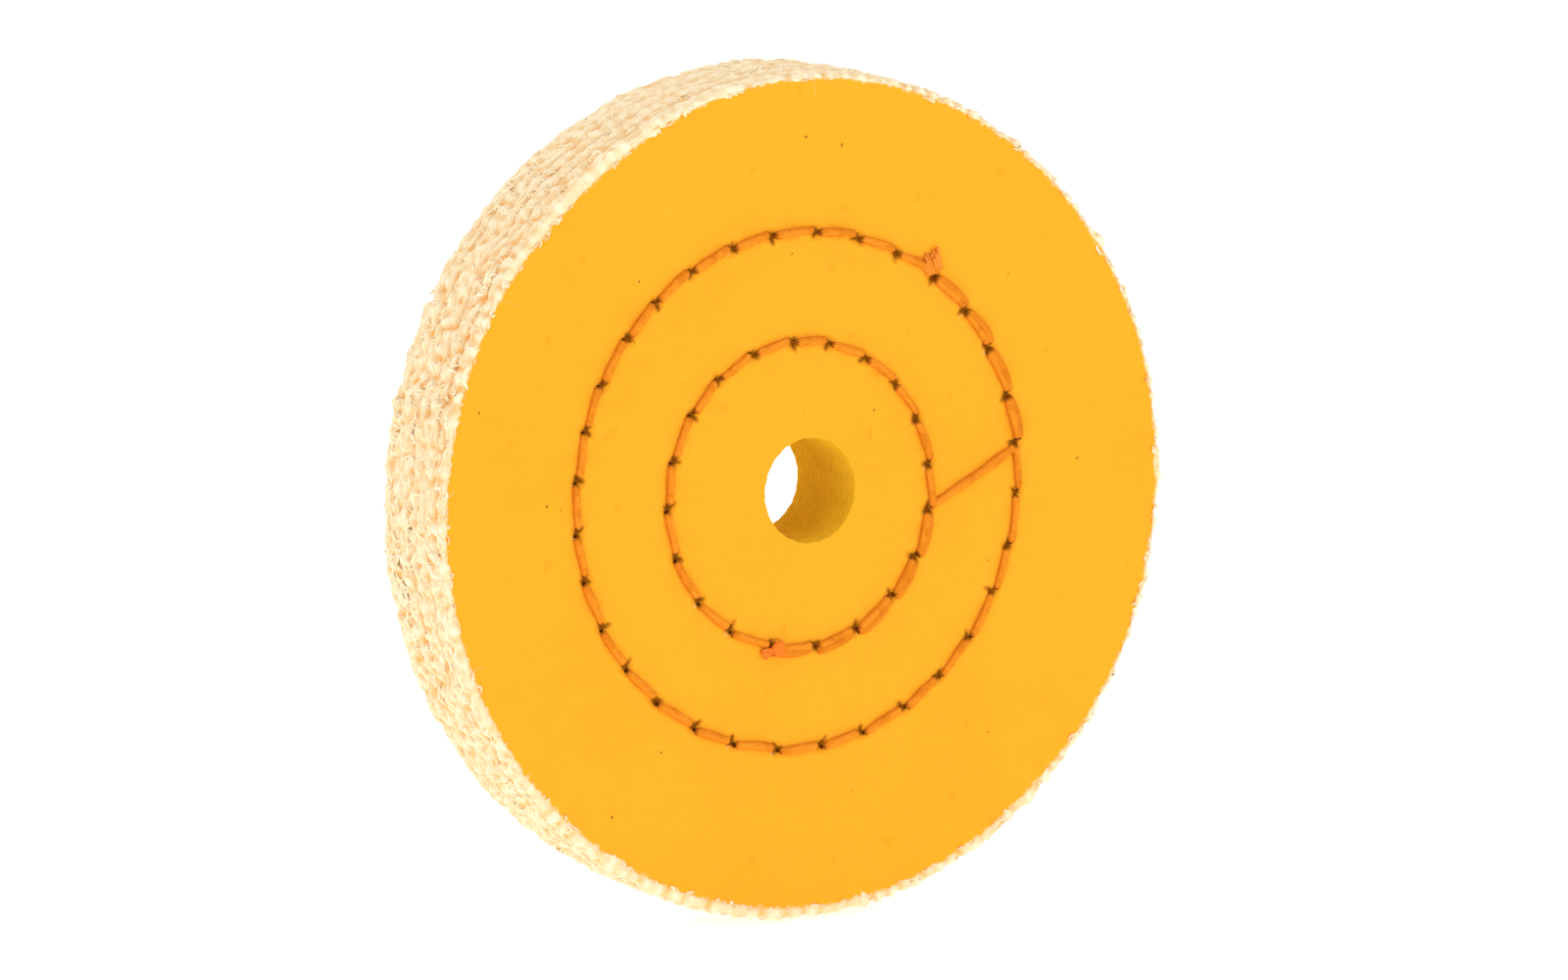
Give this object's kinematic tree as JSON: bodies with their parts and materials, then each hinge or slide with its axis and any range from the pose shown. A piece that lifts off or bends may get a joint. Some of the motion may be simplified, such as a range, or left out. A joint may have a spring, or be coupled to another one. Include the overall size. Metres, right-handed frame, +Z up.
{
  "type": "polishing wheel",
  "caption": "Round polishing wheel of stitched, dyed cotton plies with a plain arbor hole and a frayed rim, for a bench polisher.",
  "frame": {"origin": "centre of the arbor hole, at half the thickness", "axes": "+Y along the spindle, from the front face to the back; the front face, with the needle thread, looks along -Y; +Z up"},
  "size_m": [0.1016, 0.0151, 0.1016],
  "materials": {
    "dyed_cotton": "matt woven cotton sheeting, dyed yellow and stiffened; its cut edge at the rim is frayed to cream lint",
    "seam_thread": "matt plied cotton sewing thread, orange brown"
  },
  "bodies": {
    "root": {"cotton_ply_01": "dyed_cotton", "cotton_ply_02": "dyed_cotton", "cotton_ply_03": "dyed_cotton", "cotton_ply_04": "dyed_cotton", "cotton_ply_05": "dyed_cotton", "cotton_ply_06": "dyed_cotton", "cotton_ply_07": "dyed_cotton", "cotton_ply_08": "dyed_cotton", "cotton_ply_09": "dyed_cotton", "cotton_ply_10": "dyed_cotton", "cotton_ply_11": "dyed_cotton", "cotton_ply_12": "dyed_cotton", "cotton_ply_13": "dyed_cotton", "cotton_ply_14": "dyed_cotton", "cotton_ply_15": "dyed_cotton", "cotton_ply_16": "dyed_cotton", "cotton_ply_17": "dyed_cotton", "cotton_ply_18": "dyed_cotton", "cotton_ply_19": "dyed_cotton", "cotton_ply_20": "dyed_cotton", "cotton_ply_21": "dyed_cotton", "cotton_ply_22": "dyed_cotton", "cotton_ply_23": "dyed_cotton", "cotton_ply_24": "dyed_cotton", "cotton_ply_25": "dyed_cotton", "cotton_ply_26": "dyed_cotton", "cotton_ply_27": "dyed_cotton", "cotton_ply_28": "dyed_cotton", "cotton_ply_29": "dyed_cotton", "cotton_ply_30": "dyed_cotton", "cotton_ply_31": "dyed_cotton", "cotton_ply_32": "dyed_cotton", "cotton_ply_33": "dyed_cotton", "cotton_ply_34": "dyed_cotton", "cotton_ply_35": "dyed_cotton", "cotton_ply_36": "dyed_cotton", "cotton_ply_37": "dyed_cotton", "cotton_ply_38": "dyed_cotton", "cotton_ply_39": "dyed_cotton", "cotton_ply_40": "dyed_cotton", "needle_thread": "seam_thread", "bobbin_thread": "seam_thread"}
  },
  "joints": []
}
